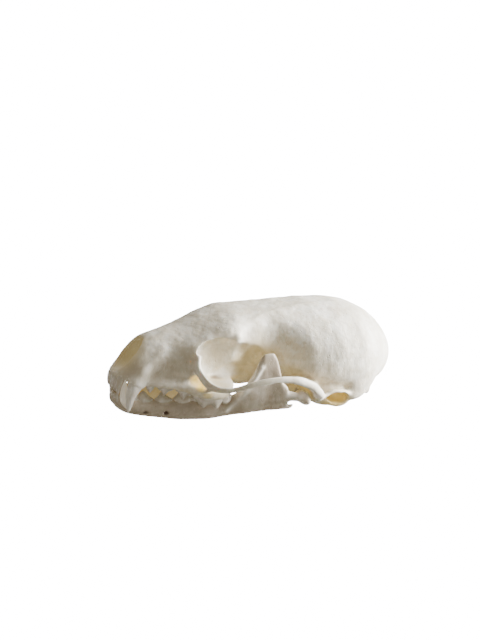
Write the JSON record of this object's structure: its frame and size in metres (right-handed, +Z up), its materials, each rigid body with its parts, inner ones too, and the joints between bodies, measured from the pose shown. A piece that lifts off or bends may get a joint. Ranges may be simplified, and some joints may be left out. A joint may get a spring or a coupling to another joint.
{
  "type": "marten skull",
  "caption": "Life-size skull of a marten with its lower jaw closed: long low snout, open orbits, slender cheek arches and a smooth, rounded braincase.",
  "frame": {"origin": "on the floor, under the middle of the skull's bounding box", "axes": "+Z up; the snout points to -X and the back of the skull to +X; +Y is the animal's right side, and the middle plane is y = 0"},
  "size_m": [0.082, 0.051, 0.0284],
  "materials": {
    "bone": "clean dry ivory-white bone, satin, faintly mottled and finely pored",
    "bulla_bone": "thin translucent bone, warm yellow-beige, satin",
    "enamel": "polished tooth enamel, warm white"
  },
  "bodies": {
    "root": {"braincase": "bone", "face": "bone", "cheek_arch_left": "bone", "cheek_arch_right": "bone", "ear_bulla_left": "bulla_bone", "ear_bulla_right": "bulla_bone", "lower_jaw_left": "bone", "lower_jaw_right": "bone", "upper_canine_left": "enamel", "upper_canine_right": "enamel", "lower_canine_left": "enamel", "lower_canine_right": "enamel"}
  },
  "joints": []
}
